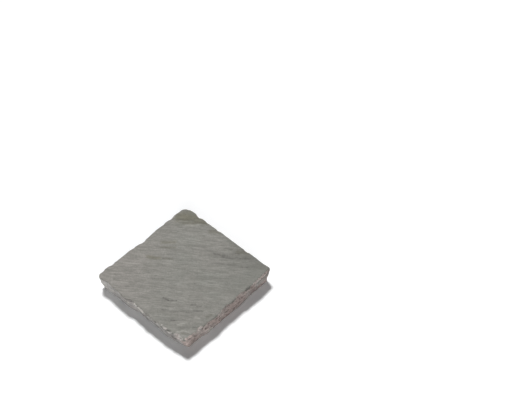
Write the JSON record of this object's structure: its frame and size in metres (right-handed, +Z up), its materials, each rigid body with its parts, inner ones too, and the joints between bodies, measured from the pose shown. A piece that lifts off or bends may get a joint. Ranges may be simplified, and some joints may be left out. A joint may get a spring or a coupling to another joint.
{
  "type": "stone sett",
  "caption": "Square slab of riven sandstone with uneven, undercut hand-dressed sides, laid flat as a paving unit.",
  "frame": {"origin": "middle of the bed the block lies on, under the middle of its bounding box", "axes": "+Z up, through the thickness; +X along the near left side, towards the near corner; +Y along the near right side, towards the right corner"},
  "size_m": [0.2026, 0.2084, 0.03],
  "materials": {
    "sandstone": "riven, matt, grey-green on top and reddish brown on the dressed sides"
  },
  "bodies": {
    "root": {"sett": "sandstone"}
  },
  "joints": []
}
